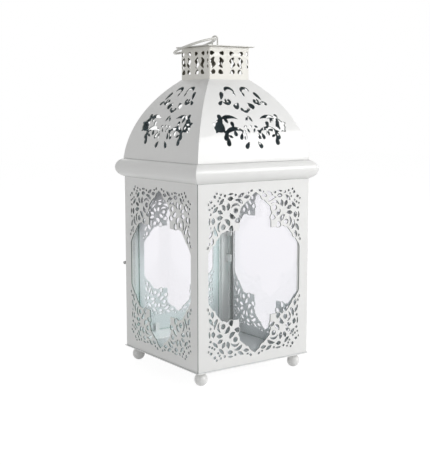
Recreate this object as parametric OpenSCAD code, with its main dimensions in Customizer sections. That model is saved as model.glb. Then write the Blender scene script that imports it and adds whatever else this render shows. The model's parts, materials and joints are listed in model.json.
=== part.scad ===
// Square candle lantern of pierced white sheet steel: glazed lace walls, a door at the back,
// a half-round cornice, a pierced dome of four curved panels, a small collar and a ring handle.
// The front is -Y and the door is at +Y. The origin is on the table, under the middle.

/* [Body] */
// Outside width and depth of the square body
body_w = 120; // [112:1:130]
// Height of the walls, from the underside of the floor sheet to the cornice
body_h = 160; // [150:1:180]
// Thickness of the wall, post, floor and cornice sheet
sheet = 1; // [0.8:0.05:1.1]
// How far the floor sheet stands out past the walls
floor_lip = 1; // [0.5:0.1:2]
// Width of each flange of the corner posts
flange_w = 10; // [9.5:0.1:10.5]

/* [Walls] */
// Plain border of a wall beside its window
window_border = 10; // [9:0.5:11]
// Plain border of a wall above and below its window
window_rise = 9; // [8:0.5:12]
// Distance of the lace corner's own origin from the wall's side edge
lace_side = 9.5; // [9:0.1:10.5]
// Distance of the lace corner's own origin from the wall's top or bottom edge
lace_foot = 7.5; // [7:0.1:9]
// Width of the metal rim round each cut that touches the window
rim_w = 1.2; // [1:0.1:1.4]

/* [Glass] */
// Thickness of the panes
glass_t = 2; // [1.5:0.1:2.2]
// Free space between a fixed pane's upright edge and the wall beside it
glass_side = 7; // [6.5:0.1:7.5]
// Free space between the panes and the cornice
glass_top = 5; // [3:0.5:8]
// Height of the folded tabs that hold the fixed panes
tab_h = 7; // [5:0.5:8]
// Length of the tabs that hold the fixed panes
tab_l = 7.5; // [6.5:0.1:8]
// Thickness of the tabs and clips
tab_t = 0.8; // [0.6:0.1:0.9]
// Heights of the middles of the tabs on the side panes, above the floor sheet's underside
side_tabs = [73.5, 99.5];
// How much higher the tabs of the front pane sit
front_tab_step = 11; // [9:0.5:12]

/* [Cornice] */
// Height of the half-round moulding
cornice_h = 16.6; // [14:0.2:18]
// How far the moulding bulges out past the walls
cornice_out = 6.2; // [4:0.1:7.5]
// Width of the lips that rest on the walls and carry the dome
lip_w = 3; // [2.5:0.1:4]

/* [Dome] */
// Radius of the curve of each roof panel
dome_r = 105; // [98:1:118]
// Inward lean of the panels where they stand on the cornice, in degrees
dome_lean = 6.3; // [5:0.1:8]
// Thickness of the roof and collar sheet
dome_t = 0.8; // [0.6:0.1:1]
// How far the dome's foot stands out past the walls
dome_step = 0.3; // [0:0.1:0.5]

/* [Collar and handle] */
// Outside width of the square collar
collar_w = 43.4; // [40:0.2:46]
// Height of the collar that stands above the dome
collar_h = 28; // [25:0.5:32]
// How deep the collar goes inside the dome
collar_tuck = 1.5; // [1.2:0.1:3]
// Outside width of the top plate
plate_w = 50.4; // [48:0.2:52]
// Thickness of the top plate
plate_t = 1; // [0.8:0.1:1.2]
// Thickness of the staple's wire
staple_wire = 1.5; // [1.2:0.1:1.8]
// Thickness of the ring's wire
ring_wire = 2.2; // [1.8:0.1:2.4]
// Diameter of the ring, measured at the middle of its wire
ring_d = 38.8; // [36:0.2:42]
// Free space round the ring's wire in the staple
ring_play = 0.5; // [0.3:0.05:0.8]
// Height of the ring's pivot above the top plate
pivot_h = 7; // [6.6:0.1:9]
// How far the ring hangs below level at rest, in degrees
ring_droop = 18.5; // [10:0.5:18.5]

/* [Feet] */
// Height of the feet
foot_h = 12.7; // [11:0.1:15]
// Diameter of the ball of each foot
ball_d = 11.5; // [10:0.1:11.6]
// Diameter of the flat that each ball rests on
ball_flat = 4; // [3:0.5:6]
// Diameter of the neck above the ball
neck_d = 6; // [5:0.5:7]
// Distance of the feet's middles from the walls
foot_inset = 8.5; // [8:0.1:10]
// Diameter of the screws that hold the feet
screw_d = 3; // [2.5:0.1:3.2]

/* [Door] */
// Strip of the back posts that stays in view beside the door
door_strip = 5.1; // [4.8:0.1:5.4]
// Gap between the door and the posts, the floor and the cornice
door_gap = 0.3; // [0.25:0.05:0.4]
// Gap below and above the door
door_end_gap = 0.6; // [0.4:0.1:1]
// Gap between the door's sheet and its pane
pane_gap = 0.5; // [0.4:0.1:0.6]
// Size of the door's lace and window as a share of the other walls'
door_lace_share = 0.78; // [0.74:0.01:0.82]
// Free space between the door's pane and the walls beside it
door_glass_side = 14.7; // [14:0.1:15.5]
// Free space between the door's pane and the floor, and between the pane and the cornice
door_glass_end = 9.8; // [8:0.1:12]
// Distance of the clips that hold the door's pane from the middle of the door
clip_at = 26.4; // [20:0.1:30]
// Width of those clips
clip_w = 4; // [3.5:0.1:5]

/* [Hinges and latch] */
// Diameter of the hinge barrels
barrel_d = 3.4; // [3:0.1:3.5]
// Diameter of the hinge pins
pin_d = 1.6; // [1.4:0.1:1.8]
// Length of each hinge
hinge_l = 15; // [12:0.5:18]
// Distance of the hinges' middles from the floor sheet's underside and from the cornice
hinge_margin = 34; // [26:1:45]
// Thickness of the hinge leaves
leaf_t = 0.8; // [0.6:0.1:0.9]
// Width of the latch button
button_w = 3; // [2.6:0.1:3.2]
// Reach of the latch button from its rivet
button_reach = 4.8; // [4:0.1:6]
// Thickness of the latch button
button_t = 1; // [0.8:0.1:1.2]
// Height of the latch above the floor sheet's underside
latch_rise = 79; // [78.5:0.5:84]

/* [Hidden] */

white = [0.93, 0.93, 0.92];
cream = [0.93, 0.92, 0.88];
steel = [0.7, 0.71, 0.72];
green_glass = [0.6, 0.78, 0.72, 0.4];

// How far a cut runs past the faces it opens
overrun = 2;
// Gap between faces of pieces that turn on each other
turn_gap = 0.3;
// Gap along the axis at the latch button
button_gap = 0.2;
// Radial clearance of pins, rivets and screws in their holes
pin_fit = 0.06;

half_w = body_w / 2;
floor_z = foot_h;
wall_z = floor_z + sheet;
wall_top = floor_z + body_h;
cornice_top = wall_top + cornice_h;

// Middle of the circle that each roof panel's curve follows, as distance from the axis and height
dome_mid = [half_w + dome_step - dome_r * cos(dome_lean), cornice_top - dome_r * sin(dome_lean)];
// Height at which the outside of the dome meets the collar
dome_top = dome_mid[1] + sqrt(dome_r * dome_r - pow(collar_w / 2 - dome_mid[0], 2));
// Height at which the inside of the dome meets the collar
dome_inner_top = dome_mid[1] + sqrt(pow(dome_r - dome_t, 2) - pow(collar_w / 2 - dome_mid[0], 2));
// Length of a roof panel along its curve
dome_s = dome_r * (asin((dome_top - dome_mid[1]) / dome_r) - dome_lean) * PI / 180;
plate_z = dome_top + collar_h;
pivot_z = plate_z + plate_t + pivot_h;

// Outlines, as polygons worked out from a length and a width

// A pointed leaf along X with two equal bows for sides
function leaf_points(len, wid, steps) = concat(
    [for (i = [0:steps]) let (t = i / steps) [len * (t - 1 / 2), 2 * wid * t * (1 - t)]],
    [for (i = [1:steps - 1]) let (t = 1 - i / steps) [len * (t - 1 / 2), -2 * wid * t * (1 - t)]]
);

// An egg along X, blunt toward -X and narrow toward +X
function egg_points(len, wid, steps) = [
    for (i = [0:steps - 1]) let (a = 360 * i / steps)
        [len / 2 * cos(a), wid / 2 * sin(a) * (1 - cos(a) / 2)]
];

// A band along an arc of radius r, pointed at both ends and widest where the ripeness puts it
function curl_points(r, wid, from, to, ripe, steps) = concat(
    [for (i = [0:steps]) let (t = i / steps, a = from + (to - from) * t)
        (r + wid / 2 * sin(180 * pow(t, ripe))) * [cos(a), sin(a)]],
    [for (i = [1:steps - 1]) let (t = 1 - i / steps, a = from + (to - from) * t)
        (r - wid / 2 * sin(180 * pow(t, ripe))) * [cos(a), sin(a)]]
);

// An upright slot whose middle line waves one and a half times from side to side
function wave_points(len, wid, swing, steps) = concat(
    [for (i = [0:steps]) let (t = i / steps)
        [swing * cos(540 * t) + wid / 2 * sqrt(sin(180 * t)), len * (t - 1 / 2)]],
    [for (i = [1:steps - 1]) let (t = 1 - i / steps)
        [swing * cos(540 * t) - wid / 2 * sqrt(sin(180 * t)), len * (t - 1 / 2)]]
);

// Lace of the walls. Each corner of a wall carries the same ornament, mirrored, and the ornament
// is mirror-symmetric about the corner's diagonal. Places and sizes are shares of its length:
// [along the diagonal, across it, length, width, turn in degrees].
lace_leaf_shares = [
    [0.477, 0.125, 0.132, 0.074, -53],
    [0.416, 0.052, 0.12, 0.066, -19],
    [0.414, 0.251, 0.115, 0.074, 50],
    [0.644, 0.505, 0.125, 0.062, 53],
    [0.538, 0.442, 0.15, 0.056, 73],
    [0.315, 0.09, 0.146, 0.056, 90]
];
// The small cuts between those leaves and the border
lace_seed_shares = [
    [0.154, 0.056, 0.062, 0.05, -35],
    [0.293, 0.209, 0.052, 0.044, -35],
    [0.363, 0.309, 0.118, 0.034, 48],
    [0.619, 0.573, 0.052, 0.036, 25],
    [0.647, 0.641, 0.062, 0.04, 75]
];
// Round dots: place, then radius
lace_dot_shares = [
    [0.252, 0.054, 0.02],
    [0.239, 0.11, 0.02],
    [0.22, 0.166, 0.019],
    [0.447, 0.368, 0.021],
    [0.144, 0.121, 0.019]
];
// The two teardrops nearest the window
lace_drop_share = [0.781, 0.09, 0.108, 0.086, -119];
// The eye that the curls wind round: place, then radius
lace_eye_share = [0.638, 0.184, 0.046];
// The comma, the thin arc and the petal that wind round the eye: [radius, width, from, to, ripeness]
lace_curl_shares = [
    [0.124, 0.076, -122, -46, 1],
    [0.106, 0.04, 83, 200, 1],
    [0.18, 0.062, 82, 145, 0.8]
];

// Window outline of a wall, one quarter, as shares of the window's half width and half height
window_shares = [
    [0, 1], [0.074, 0.966], [0.15, 0.923], [0.21, 0.882], [0.272, 0.845], [0.322, 0.814],
    [0.358, 0.78], [0.362, 0.743], [0.342, 0.69], [0.346, 0.55], [0.54, 0.546], [0.618, 0.562],
    [0.67, 0.559], [0.718, 0.533], [0.762, 0.498], [0.814, 0.454], [0.872, 0.411], [0.932, 0.357],
    [0.978, 0.312], [1, 0.277]
];

// Length of the ornament on a wall of a given width and height
function lace_l(w, h) = min(w / 2 - lace_side, (h / 2 - lace_foot) * 0.7);

module on_both_sides(l, place) {
    for (side = [0, 1]) {
        mirror([0, side]) translate(l * [place[0], place[1]]) children();
    }
}

module lace_corner(l) {
    eye = lace_eye_share;
    rotate(45) {
        for (leaf = lace_leaf_shares) {
            on_both_sides(l, leaf) rotate(leaf[4]) polygon(leaf_points(l * leaf[2], l * leaf[3], 4));
        }
        for (seed = lace_seed_shares) {
            on_both_sides(l, seed) rotate(seed[4]) polygon(leaf_points(l * seed[2], l * seed[3], 3));
        }
        for (dot = lace_dot_shares) {
            on_both_sides(l, dot) circle(l * dot[2], $fn = 16);
        }
        on_both_sides(l, lace_drop_share) rotate(lace_drop_share[4])
            polygon(egg_points(l * lace_drop_share[2], l * lace_drop_share[3], 9));
        on_both_sides(l, eye) circle(l * eye[2], $fn = 24);
        for (band = lace_curl_shares) {
            on_both_sides(l, eye)
                polygon(curl_points(l * band[0], l * band[1], band[2], band[3], band[4], 6));
        }
    }
}

// The metal that is left round the cuts nearest the window, which gives its edge scallops
module lace_rims(l) {
    eye = lace_eye_share;
    drop = lace_drop_share;
    petal = lace_curl_shares[2];
    leaf = lace_leaf_shares[3];
    rotate(45) {
        on_both_sides(l, eye) circle(l * eye[2] + 2 * rim_w, $fn = 32);
        on_both_sides(l, drop) circle(l * drop[3] / 2 + rim_w, $fn = 32);
        on_both_sides(l, [eye[0] + petal[0] * cos(petal[2] + 15), eye[1] + petal[0] * sin(petal[2] + 15)])
            circle(l * petal[1] / 2 + rim_w, $fn = 32);
        on_both_sides(l, leaf) circle(l * leaf[3] / 2 + 2 * rim_w, $fn = 32);
    }
}

module at_corners(w, h) {
    for (side = [0, 1], end = [0, 1]) {
        mirror([side, 0]) mirror([0, end]) translate([lace_side - w / 2, lace_foot - h / 2]) children();
    }
}

function window_outline(w, h) = let (
    half = [w / 2 - window_border, h / 2 - window_rise],
    quarter = [for (p = window_shares) [p[0] * half[0], p[1] * half[1]]],
    last = len(quarter) - 1
) concat(
    quarter,
    [for (i = [last:-1:0]) [quarter[i][0], -quarter[i][1]]],
    [for (i = [1:last]) [-quarter[i][0], -quarter[i][1]]],
    [for (i = [last:-1:1]) [-quarter[i][0], quarter[i][1]]]
);

// A pierced wall, flat, centred on its own middle. Its lace is that of a wall of the size in span,
// at the given share of its size.
module lace_wall(size, span, share) {
    l = lace_l(span[0], span[1]);
    difference() {
        square(size, center = true);
        scale(share) difference() {
            polygon(window_outline(span[0], span[1]));
            at_corners(span[0], span[1]) lace_rims(l);
        }
        scale(share) at_corners(span[0], span[1]) lace_corner(l);
    }
}

wall_h = body_h - sheet;

// Stands a flat wall up with its outer face on the plane y = -out
module stand_wall(out, z_mid) {
    translate([0, sheet - out, z_mid]) rotate([90, 0, 0]) linear_extrude(sheet) children();
}

module front_lattice() {
    color(white) stand_wall(half_w, wall_z + wall_h / 2)
        lace_wall([body_w, wall_h], [body_w, wall_h], 1);
}

module side_lattice() {
    size = [body_w - 2 * sheet, wall_h];
    stand_wall(half_w, wall_z + wall_h / 2) lace_wall(size, size, 1);
}

module left_lattice() {
    color(white) rotate(-90) side_lattice();
}

module right_lattice() {
    color(white) rotate(90) side_lattice();
}

door_w = body_w - 2 * door_strip;
door_h = wall_h - 2 * door_end_gap;
door_in = half_w - sheet + door_gap;
door_out = door_in + sheet;
door_mid_z = wall_z + wall_h / 2;

module door_lattice() {
    color(white) rotate(180) stand_wall(door_out, door_mid_z)
        lace_wall([door_w, door_h], [body_w, wall_h], door_lace_share);
}

// Floor, feet and screws

foot_at = half_w - foot_inset;
screw_head_d = 1.8 * screw_d;
screw_head_h = screw_d / 2;
screw_depth = foot_h / 2;

module at_feet() {
    for (x = [-1, 1], y = [-1, 1]) {
        translate([x * foot_at, y * foot_at, 0]) children();
    }
}

module base_plate() {
    color(white) difference() {
        translate([-half_w - floor_lip, -half_w - floor_lip, floor_z])
            cube([body_w + 2 * floor_lip, body_w + 2 * floor_lip, sheet]);
        at_feet() translate([0, 0, floor_z - overrun])
            cylinder(d = screw_d + 2 * pin_fit, h = sheet + 2 * overrun, $fn = 32);
    }
}

module foot() {
    ball_z = sqrt(pow(ball_d / 2, 2) - pow(ball_flat / 2, 2));
    color(white) difference() {
        union() {
            intersection() {
                translate([0, 0, ball_z]) sphere(d = ball_d, $fn = 48);
                translate([-ball_d, -ball_d, 0]) cube([2 * ball_d, 2 * ball_d, foot_h]);
            }
            translate([0, 0, ball_z]) cylinder(d = neck_d, h = foot_h - ball_z, $fn = 48);
        }
        translate([0, 0, foot_h - screw_depth - pin_fit])
            cylinder(d = screw_d + 2 * pin_fit, h = screw_depth + overrun, $fn = 32);
    }
}

module foot_front_left() {
    translate([-foot_at, -foot_at, 0]) foot();
}

module foot_front_right() {
    translate([foot_at, -foot_at, 0]) foot();
}

module foot_back_left() {
    translate([-foot_at, foot_at, 0]) foot();
}

module foot_back_right() {
    translate([foot_at, foot_at, 0]) foot();
}

module foot_screws() {
    color(steel) at_feet() translate([0, 0, wall_z]) {
        cylinder(d = screw_head_d, h = screw_head_h, $fn = 32);
        translate([0, 0, -sheet - screw_depth])
            cylinder(d = screw_d, h = screw_depth + sheet + screw_head_h / 2, $fn = 32);
    }
}

// Corner posts. A post is drawn for the front left corner and turned or mirrored to the others.

post_in = half_w - sheet;
pane_out = post_in - sheet;
pane_in = pane_out - glass_t;

// Tab that holds the end of a side pane, folded back from the flange that faces front or back
module side_pane_tab(rise) {
    translate([-pane_in, -pane_out - sheet / 2, floor_z + rise - tab_h / 2])
        cube([tab_t, tab_l + sheet / 2, tab_h]);
}

// Tab that holds the end of the front pane, folded from the flange that faces sideways
module front_pane_tab(rise) {
    translate([-pane_out - sheet / 2, -pane_in, floor_z + rise - tab_h / 2])
        cube([tab_l + sheet / 2, tab_t, tab_h]);
}

module post(front) {
    angle = [[0, 0], [flange_w, 0], [flange_w, sheet], [sheet, sheet], [sheet, flange_w], [0, flange_w]];
    color(white) {
        translate([-post_in, -post_in, wall_z]) linear_extrude(wall_top - wall_z) polygon(angle);
        for (rise = side_tabs) side_pane_tab(rise);
        if (front) {
            for (rise = side_tabs) front_pane_tab(rise + front_tab_step);
        }
    }
}

module post_front_left() {
    post(true);
}

module post_front_right() {
    mirror([1, 0, 0]) post(true);
}

module post_back_left() {
    difference() {
        mirror([0, 1, 0]) post(false);
        latch_axis() translate([0, 0, -sheet - overrun])
            cylinder(d = rivet_d + 2 * pin_fit, h = sheet + 2 * overrun, $fn = 32);
    }
}

module post_back_right() {
    mirror([1, 0, 0]) mirror([0, 1, 0]) post(false);
}

// Panes and the clips of the door's pane

pane_w = body_w - 2 * glass_side;
pane_h = body_h - sheet - glass_top;

module fixed_pane() {
    color(green_glass) translate([-pane_w / 2, -pane_out, wall_z]) cube([pane_w, glass_t, pane_h]);
}

module front_glass() {
    fixed_pane();
}

module left_glass() {
    rotate(-90) fixed_pane();
}

module right_glass() {
    rotate(90) fixed_pane();
}

door_pane_w = body_w - 2 * door_glass_side;
door_pane_z = wall_z + door_glass_end;
door_pane_h = wall_top - door_glass_end - door_pane_z;
door_pane_out = door_in - pane_gap;
door_pane_in = door_pane_out - glass_t;

module door_glass() {
    color(green_glass) translate([-door_pane_w / 2, door_pane_in, door_pane_z])
        cube([door_pane_w, glass_t, door_pane_h]);
}

// A folded clip at the lower edge of the door's pane: a ledge that stands off the door, then a
// fold that reaches up over the pane
module clip() {
    depth = door_in - door_pane_in + tab_t;
    translate([-clip_w / 2, door_pane_in - tab_t, -tab_t]) cube([clip_w, depth, tab_t]);
    translate([-clip_w / 2, door_pane_in - tab_t, -tab_t]) cube([clip_w, tab_t, tab_h + tab_t]);
}

module door_glass_clips() {
    color(white) for (side = [-1, 1], end = [0, 1]) {
        translate([side * clip_at, 0, door_pane_z + door_pane_h / 2]) mirror([0, 0, end])
            translate([0, 0, -door_pane_h / 2]) clip();
    }
}

// Hinges. The axis stands behind the post strip, and the door opens outward about it.

hinge_x = post_in - (barrel_d - leaf_t) / 2 - leaf_t / 4;
hinge_y = door_out + barrel_d / 2 - pin_fit * 3;
knuckle_l = (hinge_l - 2 * turn_gap) / 3;
leaf_l = 4.4;

module barrel(z, len) {
    translate([hinge_x, hinge_y, z]) cylinder(d = barrel_d, h = len, $fn = 32);
}

module pin_hole() {
    translate([hinge_x, hinge_y, -hinge_l / 2 - overrun])
        cylinder(d = pin_d + 2 * pin_fit, h = hinge_l + 2 * overrun, $fn = 32);
}

module hinge_fixed_leaf(rise) {
    web_x = hinge_x + barrel_d / 2 - leaf_t;
    leaf_x = door_w / 2 + turn_gap * 2;
    color(white) translate([0, 0, floor_z + rise]) difference() {
        union() {
            translate([leaf_x, post_in, -hinge_l / 2]) cube([web_x + leaf_t - leaf_x, leaf_t, hinge_l]);
            for (end = [-1, 1]) {
                z = end * (hinge_l - knuckle_l) / 2 - knuckle_l / 2;
                barrel(z, knuckle_l);
                translate([web_x, post_in, z]) cube([leaf_t, hinge_y - post_in, knuckle_l]);
            }
        }
        pin_hole();
    }
}

module hinge_door_leaf(rise) {
    door_end = door_w / 2;
    color(white) translate([0, 0, floor_z + rise]) difference() {
        union() {
            translate([door_end - leaf_l, door_out, -hinge_l / 2]) cube([leaf_l, leaf_t, hinge_l]);
            translate([door_end - leaf_t, door_out, -knuckle_l / 2])
                cube([hinge_x - door_end + leaf_t, leaf_t, knuckle_l]);
            barrel(-knuckle_l / 2, knuckle_l);
        }
        pin_hole();
    }
}

module hinge_pin(rise) {
    head = pin_d / 3;
    color(steel) translate([hinge_x, hinge_y, floor_z + rise]) {
        translate([0, 0, -hinge_l / 2 - head]) cylinder(d = pin_d, h = hinge_l + 2 * head, $fn = 32);
        for (z = [-hinge_l / 2 - head, hinge_l / 2]) {
            translate([0, 0, z]) cylinder(d = pin_d * 1.5, h = head, $fn = 32);
        }
    }
}

module upper_hinge_fixed_leaf() {
    hinge_fixed_leaf(body_h - hinge_margin);
}

module lower_hinge_fixed_leaf() {
    hinge_fixed_leaf(hinge_margin);
}

module upper_hinge_door_leaf() {
    hinge_door_leaf(body_h - hinge_margin);
}

module lower_hinge_door_leaf() {
    hinge_door_leaf(hinge_margin);
}

module upper_hinge_pin() {
    hinge_pin(body_h - hinge_margin);
}

module lower_hinge_pin() {
    hinge_pin(hinge_margin);
}

// Latch: a round-ended button on a shouldered rivet in the strip of the back left post. It is
// drawn turned away from the door, with its tip just past the corner, as in the picture.

rivet_d = 1.6;
rivet_head_d = 2.4;
rivet_head_t = 0.6;
latch_x = -door_w / 2 - button_w / 2 - turn_gap;
button_y = door_out + turn_gap;

// Moves children to the latch's axis, with Z pointing out of the back post's outer face
module latch_axis() {
    translate([latch_x, post_in, floor_z + latch_rise]) rotate([-90, 0, 0]) children();
}

module latch_button() {
    tip = button_reach - button_w / 2;
    color(white) latch_axis() translate([0, 0, button_y - post_in]) linear_extrude(button_t) difference() {
        union() {
            circle(d = button_w, $fn = 40);
            translate([-tip, -button_w / 2]) square([tip, button_w]);
            translate([-tip, 0]) circle(d = button_w, $fn = 40);
        }
        circle(d = rivet_d + 2 * pin_fit, $fn = 32);
    }
}

module latch_rivet() {
    shoulder = button_y - post_in - button_gap;
    head_z = button_y - post_in + button_t + button_gap;
    color(steel) latch_axis() {
        cylinder(d = rivet_head_d, h = shoulder, $fn = 32);
        translate([0, 0, -sheet - rivet_head_t])
            cylinder(d = rivet_d, h = head_z + sheet + rivet_head_t, $fn = 32);
        translate([0, 0, head_z]) cylinder(d = rivet_head_d, h = rivet_head_t, $fn = 32);
        translate([0, 0, -sheet - rivet_head_t]) cylinder(d = rivet_head_d, h = rivet_head_t, $fn = 32);
    }
}

// Cornice and dome: profiles run along each side and mitred at the corners

// Runs a profile, drawn as distance from the axis and height, along the front side
module run_side(len) {
    rotate([90, 0, -90]) linear_extrude(len, center = true) children();
}

// Quarter of the plan that belongs to the front side
module front_wedge(reach, z, h) {
    translate([0, 0, z]) linear_extrude(h) polygon([[0, 0], [-reach, -reach], [reach, -reach]]);
}

module mitred_side(reach, z, h) {
    intersection() {
        run_side(2 * reach) children();
        front_wedge(reach, z, h);
    }
}

module cornice_profile() {
    rise = cornice_h / 2;
    r = (rise * rise + cornice_out * cornice_out) / (2 * cornice_out);
    mid = [half_w + cornice_out - r, wall_top + rise];
    difference() {
        intersection() {
            translate(mid) circle(r, $fn = 96);
            translate([half_w, wall_top]) square([r, cornice_h]);
        }
        intersection() {
            translate(mid) circle(r - sheet, $fn = 96);
            translate([half_w - overrun, wall_top + sheet]) square([r + overrun, cornice_h - 2 * sheet]);
        }
    }
    for (y = [wall_top, cornice_top - sheet]) {
        translate([half_w - lip_w, y]) square([lip_w, sheet]);
    }
}

module cornice() {
    color(white) for (side = [0:3]) {
        rotate(90 * side) mitred_side(half_w + 2 * cornice_out, wall_top - overrun, cornice_h + 2 * overrun)
            cornice_profile();
    }
}

module dome_profile() {
    intersection() {
        difference() {
            translate(dome_mid) circle(dome_r, $fn = 200);
            translate(dome_mid) circle(dome_r - dome_t, $fn = 200);
        }
        translate([collar_w / 2, cornice_top]) square([body_w, dome_r]);
    }
}

// Piercings of a roof panel. Places and sizes are shares of the panel's length along its curve:
// [sideways, up from the foot, length, width, turn in degrees]. Each is there twice, mirrored.
dome_leaf_shares = [
    [0.06, 0.772, 0.064, 0.026, 92],
    [0.21, 0.684, 0.058, 0.026, 100],
    [0.023, 0.466, 0.08, 0.028, -60],
    [0.296, 0.45, 0.076, 0.04, 60],
    [0.452, 0.408, 0.064, 0.036, 15],
    [0.437, 0.335, 0.06, 0.036, -50],
    [0.35, 0.33, 0.058, 0.034, -130],
    [0.278, 0.272, 0.062, 0.028, 25],
    [0.07, 0.376, 0.048, 0.026, -20],
    [0.039, 0.334, 0.052, 0.024, 65]
];
dome_egg_shares = [
    [0.236, 0.75, 0.118, 0.044, -62],
    [0.284, 0.658, 0.078, 0.036, 140],
    [0.164, 0.682, 0.05, 0.032, 240],
    [0.093, 0.622, 0.096, 0.062, 136],
    [0.038, 0.572, 0.05, 0.034, 225],
    [0.395, 0.392, 0.152, 0.122, 100],
    [0.362, 0.468, 0.1, 0.05, 255],
    [0.318, 0.216, 0.09, 0.052, 95],
    [0.332, 0.274, 0.098, 0.052, 125],
    [0.1, 0.322, 0.052, 0.038, 150],
    [0.212, 0.308, 0.068, 0.042, 80],
    [0.141, 0.272, 0.074, 0.038, 112],
    [0.227, 0.396, 0.08, 0.042, -95],
    [0.087, 0.27, 0.071, 0.033, 110],
    [0.082, 0.177, 0.084, 0.044, 127]
];
// Bands along arcs: [middle sideways, middle up, radius, width, from, to, ripeness]
dome_curl_shares = [
    [0.105, 0.811, 0.052, 0.042, 0, 215, 0.8],
    [0.202, 0.712, 0.065, 0.036, 205, 325, 1],
    [0.25, 0.268, 0.222, 0.044, 62, 120, 0.7],
    [0.207, 0.171, 0.185, 0.048, 35, 132, 0.8]
];
// The smile under the crown of the ornament, on the middle line
dome_smile_share = [0, 0.604, 0.054, 0.032, 212, 328, 1];
// The bead on the middle line: place, then radius
dome_bead_share = [0, 0.378, 0.016];

// Sets children on the roof's front panel: X sideways, Y up along the curve, Z out of the sheet
module on_dome(x, s) {
    a = dome_lean + s / dome_r * 180 / PI;
    translate([x, -dome_mid[0] - dome_r * cos(a), dome_mid[1] + dome_r * sin(a)])
        rotate([90 - a, 0, 0]) children();
}

module pierce() {
    translate([0, 0, -dome_t - overrun]) linear_extrude(dome_t + 2 * overrun) children();
}

module dome_piercings() {
    l = dome_s;
    for (side = [0, 1]) {
        mirror([side, 0, 0]) {
            for (c = dome_leaf_shares) {
                on_dome(l * c[0], l * c[1]) pierce()
                    rotate(c[4]) polygon(leaf_points(l * c[2], l * c[3], 4));
            }
            for (c = dome_egg_shares) {
                on_dome(l * c[0], l * c[1]) pierce()
                    rotate(c[4]) polygon(egg_points(l * c[2], l * c[3], 10));
            }
            for (c = dome_curl_shares) {
                on_dome(l * c[0], l * c[1]) pierce()
                    polygon(curl_points(l * c[2], l * c[3], c[4], c[5], c[6], 8));
            }
        }
    }
    smile = dome_smile_share;
    on_dome(smile[0], l * smile[1]) pierce()
        polygon(curl_points(l * smile[2], l * smile[3], smile[4], smile[5], smile[6], 8));
    on_dome(dome_bead_share[0], l * dome_bead_share[1]) pierce() circle(l * dome_bead_share[2], $fn = 24);
}

module dome_panel() {
    color(white) difference() {
        mitred_side(half_w + 2 * dome_step, cornice_top - overrun, dome_r) dome_profile();
        dome_piercings();
    }
}

module dome_front() {
    dome_panel();
}

module dome_left() {
    rotate(-90) dome_panel();
}

module dome_right() {
    rotate(90) dome_panel();
}

module dome_back() {
    rotate(180) dome_panel();
}

// Collar, top plate and handle

collar_z = dome_inner_top - collar_tuck;

// Piercings of one face of the collar. Each face carries two tulips, set a little to the left.
// Places and sizes are shares of the collar's width, heights counted from the top of the dome.
tulip_pitch_share = 0.48;
tulip_shift_share = -0.07;
slot_share = [0.099, 0.33, 0.228, 0.11, 0.024];
// Wedges over and under each slot: [sideways, up, length, width, turn in degrees]
wedge_shares = [
    [0.115, 0.515, 0.112, 0.078, 175],
    [0.1, 0.142, 0.128, 0.086, -25]
];
// The last cuts of the punched strip, beside each face's right-hand edge
strip_end_shares = [
    [0.444, 0.515, 0.1, 0.056, 90],
    [0.45, 0.36, 0.098, 0.044, 90],
    [0.45, 0.255, 0.07, 0.048, 90]
];

// Sets children on the collar's front face: X sideways, Y up from the dome, Z outward
module on_collar(x, y) {
    translate([x, -collar_w / 2, dome_top + y]) rotate([90, 0, 0]) children();
}

module collar_piercings() {
    l = collar_w;
    for (tulip = [-1, 1], side = [0, 1]) {
        translate([l * (tulip * tulip_pitch_share / 2 + tulip_shift_share), 0, 0]) mirror([side, 0, 0]) {
            on_collar(l * slot_share[0], l * slot_share[1]) pierce()
                polygon(wave_points(l * slot_share[2], l * slot_share[3], l * slot_share[4], 8));
            for (w = wedge_shares) {
                on_collar(l * w[0], l * w[1]) pierce()
                    rotate(w[4]) polygon(egg_points(l * w[2], l * w[3], 8));
            }
        }
    }
    for (w = strip_end_shares) {
        on_collar(l * w[0], l * w[1]) pierce()
            rotate(w[4]) polygon(leaf_points(l * w[2], l * w[3], 4));
    }
}

module collar() {
    color(cream) difference() {
        translate([0, 0, collar_z]) linear_extrude(plate_z - collar_z) difference() {
            square(collar_w, center = true);
            square(collar_w - 2 * dome_t, center = true);
        }
        for (side = [0:3]) rotate(90 * side) collar_piercings();
    }
}

// The staple stands across the corner-to-corner line that the ring swings about
staple_r = (ring_wire + staple_wire) / 2 + ring_play;
staple_head_d = staple_wire * 1.6;
staple_head_t = staple_wire / 2;

module top_plate() {
    color(white) difference() {
        translate([-plate_w / 2, -plate_w / 2, plate_z]) cube([plate_w, plate_w, plate_t]);
        rotate(135) for (side = [-1, 1]) {
            translate([side * staple_r, 0, plate_z - overrun])
                cylinder(d = staple_wire + 2 * pin_fit, h = plate_t + 2 * overrun, $fn = 32);
        }
    }
}

module handle_staple() {
    foot_z = plate_z - staple_head_t;
    color(white) rotate(135) {
        translate([0, 0, pivot_z]) rotate([90, 0, 0]) rotate_extrude(angle = 180, $fn = 64)
            translate([staple_r, 0]) circle(d = staple_wire, $fn = 32);
        for (side = [-1, 1]) {
            translate([side * staple_r, 0, foot_z]) cylinder(d = staple_wire, h = pivot_z - foot_z, $fn = 32);
            translate([side * staple_r, 0, foot_z]) cylinder(d = staple_head_d, h = staple_head_t, $fn = 32);
        }
    }
}

module ring_handle() {
    color(white) translate([0, 0, pivot_z]) rotate(135) rotate([0, ring_droop, 0])
        translate([ring_d / 2, 0, 0]) rotate_extrude($fn = 96)
            translate([ring_d / 2, 0]) circle(d = ring_wire, $fn = 32);
}

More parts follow.
